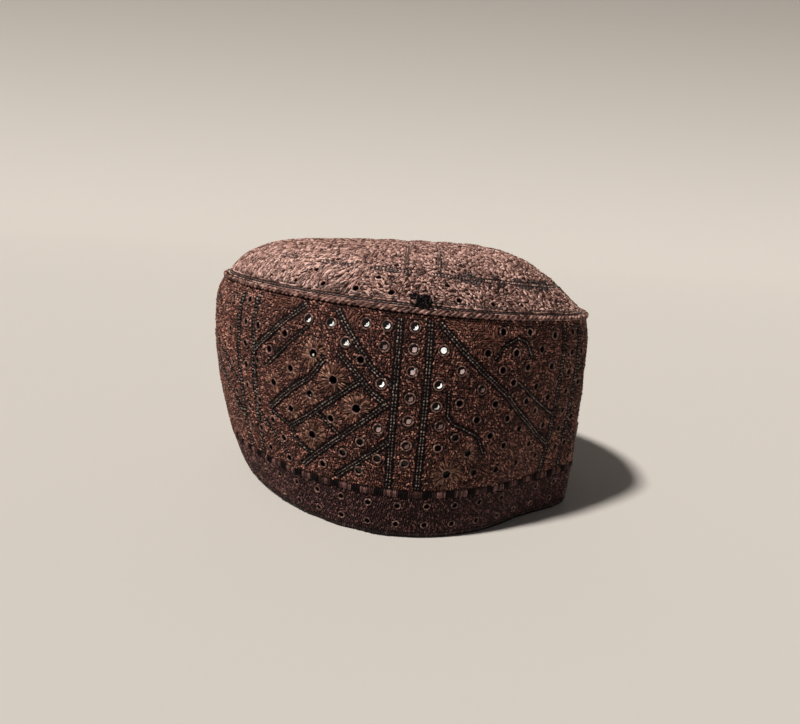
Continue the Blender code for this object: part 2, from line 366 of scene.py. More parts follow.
# Smooth unevenness of handwork: each wave's scale on its chart, and its seed
Wave = namedtuple("Wave", "scale seed")
WALL_SLANTS = Wave(7 * MM, 8)
CROWN_CURLS = Wave(4 * MM, 9)
RING_SHADE_PATCHES = Wave(2.5 * MM, 15)
ROPE_UNEVEN = Wave(1.3, 21)
STRANDS_UNEVEN = (Wave(0.8, 30), Wave(0.8, 31))
WAVE_COUNT = 5
WAVE_PHASES = 6.28
WAVE_STRETCHES = (0.7, 1.4)
WAVE_HEIGHT = 3

# Silk threads: their tones from dark stitches to pale ones, as (position, colour), and their shine. The
# pale tones are partly the silk's own and partly painted highlights of its gloss
Silk = namedtuple("Silk", "tones specular patch patch_scale", defaults=(0.5, 0.22, 60))
SILKS = {
    "wall_thread": Silk(((0.1, (0.012, 0.004, 0.003)), (0.42, (0.060, 0.019, 0.014)),
                         (0.72, (0.23, 0.084, 0.060)), (0.95, (0.75, 0.38, 0.285))), 0.35),
    # The hem's silk is darker than the wall's: partly its own darker thread and partly painted shade near
    # the rim
    "hem_thread": Silk(((0.1, (0.007, 0.0025, 0.0028)), (0.6, (0.036, 0.0135, 0.014)),
                        (0.95, (0.27, 0.12, 0.115))), 0.3),
    "rosette_thread": Silk(((0.1, (0.025, 0.009, 0.006)), (0.5, (0.12, 0.048, 0.030)),
                            (0.95, (0.55, 0.29, 0.20))), 0.35),
    "satin_thread": Silk(((0.1, (0.03, 0.010, 0.007)), (0.6, (0.17, 0.060, 0.038)),
                          (0.95, (0.40, 0.175, 0.115))), 0.35),
    "black_thread": Silk(((0.1, (0.002, 0.002, 0.0025)), (0.9, (0.009, 0.008, 0.009))), 0.08),
    # Pale bead stitches of the lines: partly painted sheen of the dark couched thread
    "bead_thread": Silk(((0.1, (0.035, 0.025, 0.022)), (0.5, (0.125, 0.092, 0.080)),
                         (0.95, (0.48, 0.38, 0.32))), 0.35),
    "square_thread": Silk(((0.1, (0.012, 0.005, 0.005)), (0.5, (0.055, 0.024, 0.021)),
                           (0.95, (0.29, 0.15, 0.135))), 0.25),
    "ring_thread": Silk(((0.1, (0.045, 0.020, 0.016)), (0.5, (0.14, 0.070, 0.056)),
                         (0.95, (0.40, 0.235, 0.195))), 0.4),
    "rim_thread": Silk(((0.1, (0.004, 0.003, 0.003)), (0.7, (0.02, 0.012, 0.012)),
                        (0.95, (0.15, 0.09, 0.08))), 0.3),
    # The crown's silk is the wall's, painted lighter and pinker: painted light from above
    "crown_thread": Silk(((0.12, (0.02, 0.008, 0.006)), (0.36, (0.14, 0.068, 0.053)),
                          (0.65, (0.37, 0.205, 0.17)), (0.95, (0.86, 0.57, 0.49)))),
    "crown_line_thread": Silk(((0.1, (0.010, 0.008, 0.008)), (0.9, (0.08, 0.055, 0.05)))),
    # The rope's tone follows a noise about as fine as its twists: partly painted highlights on the
    # strands' crossings
    "rope_thread": Silk(((0.38, (0.04, 0.016, 0.012)), (0.5, (0.17, 0.082, 0.066)),
                         (0.62, (0.48, 0.275, 0.235))), patch=0.95, patch_scale=330),
}


def plan_radius(outline, turn):
    """Distance of an outline from the middle, at turns."""
    angle = np.radians(turn - 90)
    across = np.abs(np.cos(angle) / outline.half_width) ** outline.power
    along = np.abs(np.sin(angle) / outline.half_depth) ** outline.power
    radius = (across + along) ** (-1 / outline.power) * (1 + outline.skew * np.sin(2 * angle))
    from_corner = np.hypot((turn - CORNER_TURN + 180) % 360 - 180, CORNER_ROUND)
    return radius + outline.corner * np.clip(1 - from_corner / CORNER_SPAN, 0, None) ** CORNER_POWER


def seam_level(x, y):
    return SEAM_HEIGHT + SEAM_SLOPE_X * x + SEAM_SLOPE_Y * y


def place(turn, radius, level):
    angle = np.radians(turn - 90)
    x = radius * np.cos(angle)
    y = radius * np.sin(angle)
    return np.stack([x - MIDDLE_X, y - MIDDLE_Y, seam_level(x, y) * level], -1)


def wall_surface(turn, height):
    straight = plan_radius(RIM, turn) * (1 - height) + plan_radius(SEAM, turn) * height
    lean = 1 - BULGE_LEAN * np.cos(np.radians(turn - 90))
    belly = WALL_BULGE * lean * np.clip(4 * height * (1 - height), 0, None) ** BULGE_POWER
    tuck = SEAM_TUCK * np.clip(height, 0, None) ** TUCK_POWER
    return place(turn, straight + belly - tuck, height)


def crown_reach(x, y):
    """Share of the way from the crown's middle to the seam."""
    turn = np.degrees(np.arctan2(y, x)) + 90
    return np.hypot(x, y) / (plan_radius(SEAM, turn) - SEAM_TUCK)


def crown_surface(x, y):
    """Outer face of the crown over points in plan, measured from the middle of the seam."""
    power = DOME_POWER * (1 + DOME_POWER_LEAN * x / SEAM.half_width)
    fall = np.clip(crown_reach(x, y), 0, None) ** power
    rise = DOME_RISE * (1 + DOME_LEAN * x / SEAM.half_width) * (1 - fall)
    return np.stack([x - MIDDLE_X, y - MIDDLE_Y, seam_level(x, y) + PIECE_GAP + rise], -1)


def turned(direction, angle):
    """Directions on the chart, turned by angles in radians."""
    cos, sin = np.cos(angle), np.sin(angle)
    return np.stack([direction[:, 0] * cos - direction[:, 1] * sin,
                     direction[:, 0] * sin + direction[:, 1] * cos], -1)


def facing(angle):
    return np.stack([np.cos(angle), np.sin(angle)], -1)


def unit(vectors):
    return vectors / np.maximum(np.linalg.norm(vectors, axis=-1, keepdims=True), 1e-12)


def surface_frame(surface, first, second, first_step, second_step):
    """Point, two directions along the surface and the outward normal."""
    here = surface(first, second)
    one = unit(surface(first + first_step, second) - here)
    other = surface(first, second + second_step) - here
    normal = unit(np.cross(one, other))
    return here, one, np.cross(normal, one), normal


def sewn_surface(turn, height):
    """Outer face of the wall where a spot of the flat pattern is sewn, as on the frame."""
    drawn_out = FRONT_STRETCH * height * np.sin(np.radians(turn - FRONT_BAND_TURN))
    turn = turn + drawn_out - BAND_LEAN * (1 - height)
    return wall_surface(turn, height - PATTERN_SAG * height * (1 - height))


def wall_frames(spots):
    return surface_frame(sewn_surface, spots[:, 0] / DEGREE, spots[:, 1] / SEAM_HEIGHT,
                         first_step=0.01, second_step=0.0002)


def crown_frames(spots):
    return surface_frame(crown_surface, spots[:, 0], spots[:, 1],
                         first_step=1e-5, second_step=1e-5)


# Chart of the wall: spots are (turn * DEGREE, height * SEAM_HEIGHT), in metres

def chart(turn, height):
    return np.stack(np.broadcast_arrays(np.asarray(turn, float) * DEGREE,
                                        np.asarray(height, float) * SEAM_HEIGHT), -1)


def wrapped(turn):
    return (turn + 180) % 360 - 180


def turns_round(count, shift=0.0):
    """Evenly spaced turns, moved on by a share of their spacing."""
    return (np.arange(count) + shift) * 360 / count


def wall_eyelets():
    """Chart spots and kinds of all the wall's eyelets, those of the mirrors first."""
    found = [(mirror.turn, mirror.height, "mirror") for mirror in MIRRORS]
    for band in range(BAND_COUNT):
        turn = FRONT_BAND_TURN + band * BAND_STEP
        found += [(turn, BAND_TOP - index * BAND_DROP, "plain") for index in range(BAND_EYELETS)]
        for eyelet in PANEL_EYELETS[PANEL_DESIGNS[band]]:
            found.append((turn + eyelet.across, eyelet.height, eyelet.kind))
    for row in HEM_ROWS:
        found += [(HEM_START + index * 360 / HEM_EYELETS, row, "hem") for index in range(HEM_EYELETS)]
    turns, heights, kinds = (np.array(column) for column in zip(*found))
    spots = chart(wrapped(turns), heights)
    nearest = np.linalg.norm(spots[:, None] - spots[kinds == "mirror"], axis=-1).min(1)
    from_join = 180 * DEGREE - np.abs(spots[:, 0])
    keep = ((kinds == "mirror") | (nearest > MIRROR_CLEARANCE)) & (from_join > JOIN_CLEARANCE)
    return spots[keep], kinds[keep]


def crown_spots(turn, reach):
    """Plan spots at turns, at shares of the way out from the crown's middle to the seam."""
    turn, reach = np.broadcast_arrays(np.asarray(turn, float), reach)
    return ((plan_radius(SEAM, turn) - SEAM_TUCK) * reach)[:, None] * facing(np.radians(turn - 90))


def crown_eyelets():
    """Plan spots of the crown's eyelets, ring by ring."""
    spots = np.concatenate([crown_spots(ring.start + turns_round(ring.eyelets), ring.reach)
                            for ring in CROWN_RINGS])
    return spots + random.normal(0, CROWN_EYELET_JITTER, spots.shape)


def resampled(points, step):
    """Evenly spaced points along a polyline, with the direction at each."""
    points = np.asarray(points, float)
    spans = np.linalg.norm(np.diff(points, axis=0), axis=1)
    travelled = np.concatenate([[0], np.cumsum(spans)])
    count = max(2, int(round(travelled[-1] / step)))
    at = (np.arange(count) + 0.5) / count * travelled[-1]
    spots = np.stack([np.interp(at, travelled, points[:, axis]) for axis in range(2)], -1)
    index = np.clip(np.searchsorted(travelled, at, side="right") - 1, 0, len(spans) - 1)
    return spots, unit(np.diff(points, axis=0)[index])


def wall_lines():
    """Polylines on the chart, each with whether it is double."""
    lines = []
    for band in range(BAND_COUNT):
        turn = FRONT_BAND_TURN + band * BAND_STEP
        for side in (-1, 1):
            edge = turn + side * BAND_HALF_WIDTH
            lines.append((True, [(edge, BAND_LINE_TOP), (edge, BAND_LINE_FOOT)]))
        for line in PANEL_LINES[PANEL_DESIGNS[band]]:
            lines.append((line.double, [(turn + across, height) for across, height in line.points]))
    return [(double, np.array(points) * (DEGREE, SEAM_HEIGHT)) for double, points in lines]


def crown_lines():
    """Polylines in plan, each with whether it is double: a ring, and two bands inside it."""
    lines = [(False, crown_spots(np.arange(0, 361, RING_LINE_STEP), CROWN_RING_REACH))]
    inside = np.linspace(-SEAM.half_width, SEAM.half_width, BAND_LINE_POINTS)
    for side in (-1, 1):
        for upright in (True, False):
            off = side * CROWN_BAND_HALF + (CROWN_BAND_X if upright else 0)
            points = np.array([(off, along) if upright else (along, off) for along in inside])
            lines.append((False, points[crown_reach(*points.T) < CROWN_RING_REACH]))
    return lines


def line_distance(spots, lines, period=None):
    """Distance from each spot to the edge of the nearest stitched line, below 0 on the line."""
    best = np.full(len(spots), FAR_AWAY)
    for double, points in lines:
        half_width = LINE_HALF_WIDTHS[double]
        for start, end in zip(points, points[1:]):
            offset = spots - start
            if period:
                middle = (end[0] - start[0]) / 2
                offset[:, 0] = (offset[:, 0] - middle + period / 2) % period - period / 2 + middle
            span = end - start
            share = offset @ span / (span @ span)
            beyond = np.abs(share - 0.5) > 0.5
            away = np.linalg.norm(offset - np.clip(share, 0, 1)[:, None] * span, axis=1)
            best = np.minimum(best, away - np.where(beyond, 0, half_width))
    return best


def nearest_eyelet(face, spots):
    """Index of the nearest eyelet to each spot, with the offset and the distance from its middle."""
    index = np.empty(len(spots), int)
    offset = np.empty((len(spots), 2))
    for start in range(0, len(spots), SPOTS_AT_A_TIME):
        some = slice(start, start + SPOTS_AT_A_TIME)
        part = spots[some, None] - face.eyelets[None]
        if face.period:
            part[..., 0] = (part[..., 0] + face.period / 2) % face.period - face.period / 2
        index[some] = np.linalg.norm(part, axis=-1).argmin(1)
        offset[some] = part[np.arange(len(part)), index[some]]
    # Holes flattened towards the chart's middle are measured as round ones
    across = (offset * unit(face.eyelets)[index]).sum(-1)
    sideways = np.sqrt(np.maximum((offset ** 2).sum(-1) - across ** 2, 0))
    return index, offset, np.hypot(sideways, across / face.flatness)


def round_hole(face, middles, radii, angles):
    """Spots round eyelets, in ovals that are flattened towards the chart's middle."""
    inward = unit(middles)
    sideways = np.stack([-inward[..., 1], inward[..., 0]], -1)
    return middles + radii * (np.cos(angles) * sideways + face.flatness * np.sin(angles) * inward)


def noise_wave(spots, wave):
    """Smooth hand-made unevenness from a few crossed waves, about -1 to 1."""
    draws = np.random.default_rng(wave.seed)
    total = np.zeros(len(spots))
    for angle in draws.uniform(0, math.pi, WAVE_COUNT):
        phase = draws.uniform(0, WAVE_PHASES)
        stretch = draws.uniform(*WAVE_STRETCHES)
        total += np.sin((spots @ facing(angle)) / wave.scale * stretch + phase)
    return total / WAVE_HEIGHT


# The two embroidered faces, each with its flat chart
Face = namedtuple("Face", "slot frames eyelets holes flatness lines period dip swell uneven wear")
WALL_EYELETS, WALL_KINDS = wall_eyelets()
CROWN_EYELETS = crown_eyelets()
WALL = Face(slot="wall_cloth", frames=wall_frames, eyelets=WALL_EYELETS,
            holes=np.array([HOLE_RADII[kind] for kind in WALL_KINDS]), flatness=1.0,
            lines=wall_lines(), period=360 * DEGREE,
            dip=0.3 * MM, swell=0.28 * MM, uneven=Wave(3.4 * MM, 3), wear=None)
CROWN = Face(slot="crown_cloth", frames=crown_frames, eyelets=CROWN_EYELETS,
             holes=random.uniform(*CROWN_HOLE_RADII, len(CROWN_EYELETS)), flatness=0.65,
             lines=crown_lines(), period=None,
             dip=0.15 * MM, swell=0.32 * MM, uneven=Wave(3.2 * MM, 4), wear=Wave(5 * MM, 14))


def relief(face, spots):
    """Height of a cloth face: it dips along the stitched lines and is uneven all over."""
    away = np.clip(line_distance(spots, face.lines, face.period), 0, None)
    return -face.dip * np.exp(-(away / LINE_DIP_WIDTH) ** 2) + face.swell * noise_wave(spots, face.uneven)


def clear_of_holes(face, spots):
    """Which spots lie outside the eyelets and their rings."""
    index, _, distance = nearest_eyelet(face, spots)
    return distance > face.holes[index] + RING_WIDTH + RING_MARGIN


def line_shows(face, spots):
    """Where the dark lines are whole: on the crown they are worn away towards the left."""
    if face.wear is None:
        return np.full(len(spots), True)
    return noise_wave(spots, face.wear) + spots[:, 0] / SEAM.half_width > CROWN_LINES_START


# Meshes

def mesh_object(name, points, groups, material):
    """Mesh from points and groups of faces. All faces of one group have equally many corners."""
    mesh = bpy.data.meshes.new(name)
    groups = [np.asarray(group, np.int32) for group in groups]
    corners = np.concatenate([group.ravel() for group in groups])
    sizes = np.concatenate([np.full(len(group), group.shape[1], np.int32) for group in groups])
    mesh.vertices.add(len(points))
    mesh.vertices.foreach_set("co", np.asarray(points, np.float32).ravel())
    mesh.loops.add(len(corners))
    mesh.loops.foreach_set("vertex_index", corners)
    mesh.polygons.add(len(sizes))
    mesh.polygons.foreach_set("loop_start", np.concatenate([[0], np.cumsum(sizes)[:-1]]).astype(np.int32))
    mesh.polygons.foreach_set("loop_total", sizes)
    mesh.polygons.foreach_set("use_smooth", np.full(len(sizes), True))
    mesh.update(calc_edges=True)
    mesh.materials.append(material)
    piece = bpy.data.objects.new(name, mesh)
    bpy.context.scene.collection.objects.link(piece)
    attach(piece, "root")
    return piece


STITCH_CORNERS = 8
STITCH_TRIANGLES = np.array([(0, 2, 1), (0, 3, 2), (7, 4, 5), (7, 5, 6)])
STITCH_QUADS = np.array([(1, 2, 5, 4), (2, 3, 6, 5)])


def stitch_points(here, along, normal, length, width, rise):
    """Corners of each stitch: two sunk ends and two arched sections between them."""
    side = np.cross(normal, along)
    length, width, rise = length[:, None], width[:, None], rise[:, None]
    base = here - normal * CLOTH_SINK
    dip = normal * STITCH_DIP
    foot = normal * STITCH_FOOT * rise
    rows = [base - along * 0.5 * length - dip]
    for step in (-STITCH_SHOULDER * length, STITCH_SHOULDER * length):
        middle = base + along * step
        rows += [middle + side * width / 2 + foot, middle + normal * rise,
                 middle - side * width / 2 + foot]
    rows.append(base + along * 0.5 * length - dip)
    return np.stack(rows, 1)


def varied(value, spread, count):
    """A value for each of a number of stitches. Where it doesn't vary, nothing is drawn for it."""
    if not spread:
        return np.full(count, value)
    return value * random.uniform(1 - spread, 1 + spread, count)


def drawn(stitch, count):
    """Lengths, widths and rises of a number of stitches of one kind."""
    return [varied(size, spread, count) for size, spread in zip(stitch[:3], stitch.spreads)]


class Threadwork:
    """Stitches on one face of the cap, gathered into one mesh."""

    def __init__(self, face):
        self.face = face
        self.blocks = []

    def add(self, spots, direction, length, width, rise, lift=0.0):
        """Lays stitches at chart spots, each along a direction on the surface."""
        if not len(spots):
            return
        here, one, other, normal = self.face.frames(spots)
        along = unit(one * direction[:, :1] + other * direction[:, 1:])
        here = here + normal * (relief(self.face, spots) + lift)[:, None]
        self.blocks.append(stitch_points(here, along, normal, length, width, rise))

    def make(self, name, material, slot=None, keep_above=None):
        points = np.concatenate(self.blocks)
        shift = (np.arange(len(points)) * STITCH_CORNERS)[:, None, None]
        triangles = (STITCH_TRIANGLES + shift).reshape(-1, 3)
        quads = (STITCH_QUADS + shift).reshape(-1, 4)
        points = points.reshape(-1, 3)
        if keep_above is not None:
            points[:, 2] = np.maximum(points[:, 2], keep_above)
        mesh_object(name, points, (triangles, quads), material)


def pierced_sheet(face, grid):
    """Triangles over a face's chart, with its holes left open."""
    index, _, distance = nearest_eyelet(face, grid)
    grid = grid[distance > face.holes[index] + HOLE_MARGIN]
    angles = np.arange(HOLE_SIDES)[:, None] * 2 * math.pi / HOLE_SIDES
    outlines = round_hole(face, face.eyelets[:, None], face.holes[:, None, None], angles).reshape(-1, 2)
    points = np.concatenate([grid, outlines]) * MM_IN_A_METRE
    first = len(grid) + np.arange(len(face.eyelets))[:, None] * HOLE_SIDES
    corner = np.arange(HOLE_SIDES)[None]
    edges = np.stack([first + corner, first + (corner + 1) % HOLE_SIDES], -1).reshape(-1, 2)
    result = geometry.delaunay_2d_cdt([Vector(point) for point in points], edges.tolist(), [], 0, 1e-5)
    flat = np.array([tuple(point) for point in result[0]]) / MM_IN_A_METRE
    triangles = np.array(result[2])
    index, _, distance = nearest_eyelet(face, flat[triangles].mean(1))
    return flat, triangles[distance >= face.holes[index] * math.cos(math.pi / HOLE_SIDES)]


def thick_shell(face, outer, inner, triangles, material):
    """Closed shell of cloth between two faces that share their triangles."""
    edges = np.concatenate([triangles[:, [0, 1]], triangles[:, [1, 2]], triangles[:, [2, 0]]])
    keys = edges[:, 0].astype(np.int64) * len(outer) + edges[:, 1]
    back = edges[:, 1].astype(np.int64) * len(outer) + edges[:, 0]
    border = edges[~np.isin(keys, back)]
    count = len(outer)
    walls = np.stack([border[:, 1], border[:, 0], border[:, 0] + count, border[:, 1] + count], -1)
    groups = (np.concatenate([triangles, triangles[:, ::-1] + count]), walls)
    return mesh_object(face.slot, np.concatenate([outer, inner]), groups, material)


def make_wall_cloth(material):
    turns = np.linspace(-180, 180, WALL_COLUMNS + 1)
    heights = np.linspace(0, 1, WALL_ROWS + 1)
    grid = chart(*np.meshgrid(turns, heights)).reshape(-1, 2)
    flat, triangles = pierced_sheet(WALL, grid)
    # The sheet's two ends meet at the back, so the points of its last column are those of its first
    ends = []
    for turn in (-180, 180):
        column = np.nonzero(np.isclose(flat[:, 0], turn * DEGREE, atol=1e-6))[0]
        ends.append(column[np.argsort(flat[column, 1])])
    rename = np.arange(len(flat))
    rename[ends[1]] = ends[0]
    here, _, _, normal = wall_frames(flat)
    fade = np.clip(np.minimum(flat[:, 1], SEAM_HEIGHT - flat[:, 1]) / WALL_EDGE_FADE, 0, 1)
    sink = (CLOTH_SINK - relief(WALL, flat) * fade)[:, None]
    level = unit(normal * np.array([1.0, 1.0, 0.0]))
    inner = here - level * CLOTH_THICKNESS
    piece = thick_shell(WALL, here - level * sink, inner, rename[triangles], material)
    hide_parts("side_wall")


def make_crown_cloth(material):
    rings = [np.zeros((1, 2))]
    for reach in np.linspace(0, 1, CROWN_CLOTH_RINGS)[1:]:
        count = max(8, int(2 * math.pi * reach * SEAM.half_width / CROWN_CLOTH_STEP))
        rings.append(crown_spots(turns_round(count), reach))
    flat, triangles = pierced_sheet(CROWN, np.concatenate(rings))
    here, _, _, normal = crown_frames(flat)
    fade = np.clip((1 - crown_reach(*flat.T)) / CROWN_EDGE_FADE, 0, 1)
    sink = (CLOTH_SINK - relief(CROWN, flat) * fade)[:, None]
    inner = here - normal * CLOTH_THICKNESS
    piece = thick_shell(CROWN, here - normal * sink, inner, triangles, material)
    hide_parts("crown")


# Filling stitches

def wall_lattice(step):
    """Staggered spots over the wall's chart, fewer to a row where the wall is narrower."""
    turns = turns_round(OUTLINE_SAMPLES)
    rows = int(SEAM_HEIGHT * (LATTICE_TOP - LATTICE_FOOT) / step)
    spots = []
    for row in range(rows):
        height = LATTICE_FOOT + (row + 0.5) / rows * (LATTICE_TOP - LATTICE_FOOT)
        radius = plan_radius(RIM, turns) * (1 - height) + plan_radius(SEAM, turns) * height
        count = int(2 * math.pi * np.mean(radius) / step)
        spots.append(chart(turns_round(count, row % 2 / 2) - 180, height))
    spots = np.concatenate(spots)
    return spots + random.uniform(-WALL_SCATTER, WALL_SCATTER, spots.shape) * step


def crown_lattice(step):
    """Spots in rings over the crown, closer in plan where it is steep."""
    reach = np.linspace(0, 1, DOME_SAMPLES)
    slope = DOME_RISE * DOME_POWER * reach ** (DOME_POWER - 1)
    length = np.cumsum(np.hypot(SEAM.half_width, slope)) / len(reach)
    spots = []
    for row, travelled in enumerate(np.arange(step, length[-1] - CROWN_LATTICE_END, step)):
        at = np.interp(travelled, length, reach)
        count = max(3, int(2 * math.pi * at * SEAM.half_width / step))
        spots.append(crown_spots(turns_round(count, row % 2 / 2), at))
    spots = np.concatenate(spots)
    return spots + random.uniform(-CROWN_SCATTER, CROWN_SCATTER, spots.shape) * step


def in_satin(spots):
    """Which spots of the wall's chart lie in the patches of satin stitch under the seam."""
    inside = np.zeros(len(spots), bool)
    for band in range(BAND_COUNT):
        for patch in SATIN_PATCHES[PANEL_DESIGNS[band]]:
            turn = wrapped(spots[:, 0] / DEGREE - FRONT_BAND_TURN - band * BAND_STEP - patch.across)
            height = spots[:, 1] / SEAM_HEIGHT - patch.height
            inside |= np.hypot(turn / patch.half_turn, height / patch.half_height) < 1
    return inside


def sew_parts(face, parts, spots, direction, sizes, keep_above=None):
    """Shares filling stitches out among pieces of their own thread."""
    for name, material, part in parts:
        work = Threadwork(face)
        work.add(spots[part], direction[part], *(size[part] for size in sizes))
        work.make(name, material, keep_above=keep_above)


def fill_wall(material, satin_material, hem_material):
    """Ground stitches: round the eyelets, and along the panel's slant between them."""
    spots = wall_lattice(STITCH_STEP)
    index, offset, distance = nearest_eyelet(WALL, spots)
    rosette = np.array([ROSETTE_REACHES.get(kind, 0) for kind in WALL_KINDS])
    keep = distance > WALL.holes[index] + RING_WIDTH + WALL_FILL_MARGIN
    keep &= distance > rosette[index] - ROSETTE_OVERLAP
    keep &= line_distance(spots, WALL.lines, WALL.period) > LINE_MARGIN
    keep &= np.abs(spots[:, 1] / SEAM_HEIGHT - ROW_HEIGHT) > ROW_HALF_HEIGHT
    spots, offset, distance = spots[keep], offset[keep], distance[keep]
    satin = in_satin(spots)
    near_hem = spots[:, 1] < ROW_HEIGHT * SEAM_HEIGHT
    round_eyelet = np.arctan2(offset[:, 1], offset[:, 0]) + math.pi / 2
    slant = np.where(noise_wave(spots, WALL_SLANTS) > 0, WALL_SLANT, -WALL_SLANT)
    angle = np.where(distance < ROUND_REACH, round_eyelet, slant)
    angle = np.where(near_hem & (distance > HEM_ROUND_REACH), math.pi / 2, angle)
    angle = np.where(satin, round_eyelet, angle)
    angle = angle + random.normal(0, 1, len(spots)) * np.where(satin, SATIN_LEAN, WALL_STITCH.lean)
    length, width, rise = drawn(WALL_STITCH, len(spots))
    length = length * np.where(satin, SATIN_LENGTHENING, 1)
    width = width * np.where(satin, SATIN_NARROWING, 1)
    quarter = (spots[:, 0] / DEGREE - FRONT_BAND_TURN + 45) % 360 // 90
    # The hem's fill takes the darker hem thread, partly painted shade near the rim
    parts = [("wall_satin_patches", satin_material, satin), ("wall_hem_fill", hem_material, near_hem)]
    for number, side in enumerate(("front", "right", "back", "left")):
        parts.append((f"wall_fill_{side}", material, ~satin & ~near_hem & (quarter == number)))
    sew_parts(WALL, parts, spots, facing(angle), (length, width, rise), keep_above=FILL_FOOT)


def fill_crown(material, dark):
    """Ground stitches of the crown: slanted at its left, and curling about its width elsewhere."""
    spots = crown_lattice(CROWN_STITCH_STEP)
    index, _, distance = nearest_eyelet(CROWN, spots)
    creases = [(False, np.array(points) * MM) for points in CROWN_CREASES]
    keep = distance > CROWN.holes[index] + RING_WIDTH + CROWN_FILL_MARGIN
    keep &= (line_distance(spots, CROWN.lines) > LINE_MARGIN) | ~line_shows(CROWN, spots)
    # Gaps along the creases show the dark ground as painted shade
    keep &= line_distance(spots, creases) > -CREASE_OVERLAP
    keep &= random.uniform(0, 1, len(spots)) > CROWN_MISSED
    spots = spots[keep]
    slanted = spots[:, 0] < CROWN_SLANT_EDGE
    curl = noise_wave(spots, CROWN_CURLS)
    angle = np.where(slanted, CROWN_SLANT + CROWN_SLANT_CURL * curl, CROWN_CURL * curl)
    lean = np.where(slanted, CROWN_SLANT_LEAN, CROWN_STITCH.lean)
    angle = angle + random.normal(0, 1, len(spots)) * lean
    stitch = CROWN_STITCH._replace(length=np.where(slanted, CROWN_SLANT_LENGTH, CROWN_STITCH.length),
                                   width=np.where(slanted, CROWN_SLANT_WIDTH, CROWN_STITCH.width))
    sizes = drawn(stitch, len(spots))
    shaded = np.abs(crown_reach(*spots.T) - CROWN_RING_REACH) < CROWN_RING_SHADE
    shaded &= (spots[:, 0] > CROWN_SHADE_START) & (spots[:, 1] < 0)
    shaded &= noise_wave(spots, RING_SHADE_PATCHES) > 0
    parts = (("crown_fill", material, ~shaded), ("crown_ring_shade", dark, shaded))
    sew_parts(CROWN, parts, spots, facing(angle), sizes)


# Threadwork on the filling

def eyelet_rings(name, face, stitch, material, keep_above=None):
    """A ring of thread round each hole."""
    work = Threadwork(face)
    for middle, hole in zip(face.eyelets, face.holes):
        radius = hole + RING_WIDTH / 2
        count = int(round(2 * math.pi * radius / RING_STEP))
        angle = np.arange(count) * 2 * math.pi / count + random.uniform(0, 1)
        spots = round_hole(face, middle, radius, angle[:, None])
        along = unit(np.roll(spots, -1, 0) - np.roll(spots, 1, 0))
        work.add(spots, turned(along, random.normal(0, stitch.lean, count)), *drawn(stitch, count))
    work.make(name, material, keep_above=keep_above)


def mirror_shadow_stitches(work):
    """Dark stitches over the upper left of each mirror: a painted shadow of the rim of its recess."""
    fan = np.linspace(-MIRROR_SHADE_SPREAD, MIRROR_SHADE_SPREAD, MIRROR_SHADE_STITCHES)
    angle = np.radians(MIRROR_SHADE_ANGLE) + fan
    for spot, mirror in zip(WALL_EYELETS, MIRRORS):
        for radius in MIRROR_SHADOW_ROWS[mirror.shine]:
            work.add(spot + radius * facing(angle), facing(angle + math.pi / 2),
                     *drawn(SHADE_STITCH, MIRROR_SHADE_STITCHES), lift=MIRROR_SHADE_LIFT)


def make_rosettes(material):
    """Long satin stitches that spread from the eyelets of rosettes and buds."""
    work = Threadwork(WALL)
    for middle, kind in zip(WALL_EYELETS, WALL_KINDS):
        for row in ROSETTE_ROWS.get(kind, ()):
            angle = (np.arange(row.stitches) + random.uniform(0, 1)) * 2 * math.pi / row.stitches
            angle = angle + random.normal(0, ROSETTE_STITCH.lean, row.stitches)
            spots = middle + varied(row.reach, ROSETTE_UNEVEN, row.stitches)[:, None] * facing(angle)
            clear = line_distance(spots, WALL.lines, WALL.period) > ROSETTE_LINE_MARGIN
            clear &= clear_of_holes(WALL, spots)
            stitch = ROSETTE_STITCH._replace(length=row.length)
            work.add(spots[clear], facing(angle[clear]), *drawn(stitch, clear.sum()))
    work.make("wall_rosettes", material)


def beside(points, away):
    """A polyline moved sideways by a distance."""
    direction = unit(np.diff(points, axis=0, append=2 * points[-1:] - points[-2:-1]))
    return points + away * np.stack([-direction[:, 1], direction[:, 0]], -1)


def stitched_lines(face):
    """Rows of dark couched thread, with a row of pale bead-like stitches between each two: partly couching
    stitches, partly painted sheen of the dark thread.
    """
    couched, beads = Threadwork(face), Threadwork(face)
    for double, points in face.lines:
        for row in (-1, 0, 1) if double else (-0.5, 0.5):
            spots, along = resampled(beside(points, row * COUCHED_SPREAD), COUCHED_STEP)
            keep = line_shows(face, spots) & clear_of_holes(face, spots)
            couched.add(spots[keep], along[keep], *drawn(COUCHED_STITCH, keep.sum()))
        for row in (-0.5, 0.5) if double else (0.0,):
            spots, along = resampled(beside(points, row * COUCHED_SPREAD), BEAD_STEP)
            keep = line_shows(face, spots) & clear_of_holes(face, spots)
            spots = spots[keep] + random.normal(0, BEAD_JITTER, (keep.sum(), 2))
            beads.add(spots, along[keep], *drawn(BEAD_STITCH, len(spots)))
    return couched, beads


def make_squares(black, rosy):
    """Row of satin squares near the rim, dark and rosy by turns."""
    squares = ((DARK_SQUARE, Threadwork(WALL)), (ROSY_SQUARE, Threadwork(WALL)))
    step = 360 / ROW_SQUARES
    for index in range(ROW_SQUARES):
        (count, spacing), work = squares[index % 2]
        turns = wrapped(ROW_START + index * step) + (np.arange(count) - (count - 1) / 2) * step * spacing
        upright = facing(math.pi / 2 + random.normal(0, SQUARE_STITCH.lean, count))
        work.add(chart(turns, ROW_HEIGHT), upright, *drawn(SQUARE_STITCH, count))
    squares[0][1].make("row_dark_squares", black)
    squares[1][1].make("row_rosy_squares", rosy)


